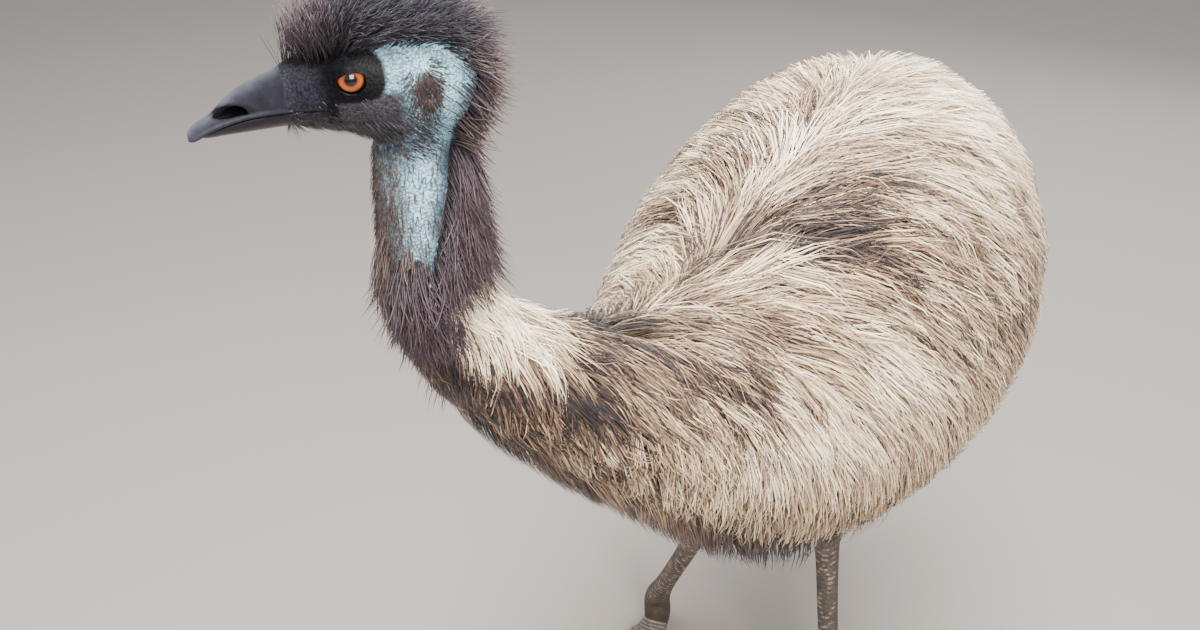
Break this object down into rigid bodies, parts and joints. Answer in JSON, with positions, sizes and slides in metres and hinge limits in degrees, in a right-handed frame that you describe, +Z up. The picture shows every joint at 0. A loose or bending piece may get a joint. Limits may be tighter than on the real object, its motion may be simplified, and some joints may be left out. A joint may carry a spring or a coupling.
{
  "type": "emu, a life-size still model",
  "caption": "Life-size still model of a standing emu: shaggy feathered body, lowered neck, turned head, bare scaly legs.",
  "frame": {"origin": "the floor, under the middle of the bird's box", "axes": "+Z up; the body faces -Y and its left side is at +X; the head is turned to the bird's right, towards -X"},
  "size_m": [0.559, 1.1378, 1.305],
  "materials": {
    "plumage_body": "loose shaggy feathers, cream to brown",
    "plumage_tail": "long drooping feathers with dark tips",
    "plumage_neck": "dark hair-like feathers with a cream patch",
    "plumage_thigh": "short brown feathers",
    "neck_skin": "pebbled blue skin under a dark mane",
    "head_skin": "pebbled pale blue and black skin under hair-like feathers",
    "bill_horn": "smooth slate-black horn",
    "eye": "wet amber eye with a black pupil",
    "leg_scales": "grey-brown scales",
    "claw_horn": "worn dark horn"
  },
  "bodies": {
    "root": {"torso": "plumage_body", "tail": "plumage_tail", "neck_lower": "plumage_neck", "neck_upper": "neck_skin", "head": "head_skin", "bill_upper": "bill_horn", "bill_lower": "bill_horn", "eye_left": "eye", "eye_right": "eye", "shin_left": "plumage_thigh", "shin_right": "plumage_thigh", "shank_left": "leg_scales", "shank_right": "leg_scales", "foot_left": "leg_scales", "foot_right": "leg_scales", "claw_inner_left": "claw_horn", "claw_middle_left": "claw_horn", "claw_outer_left": "claw_horn", "claw_inner_right": "claw_horn", "claw_middle_right": "claw_horn", "claw_outer_right": "claw_horn"}
  },
  "joints": []
}
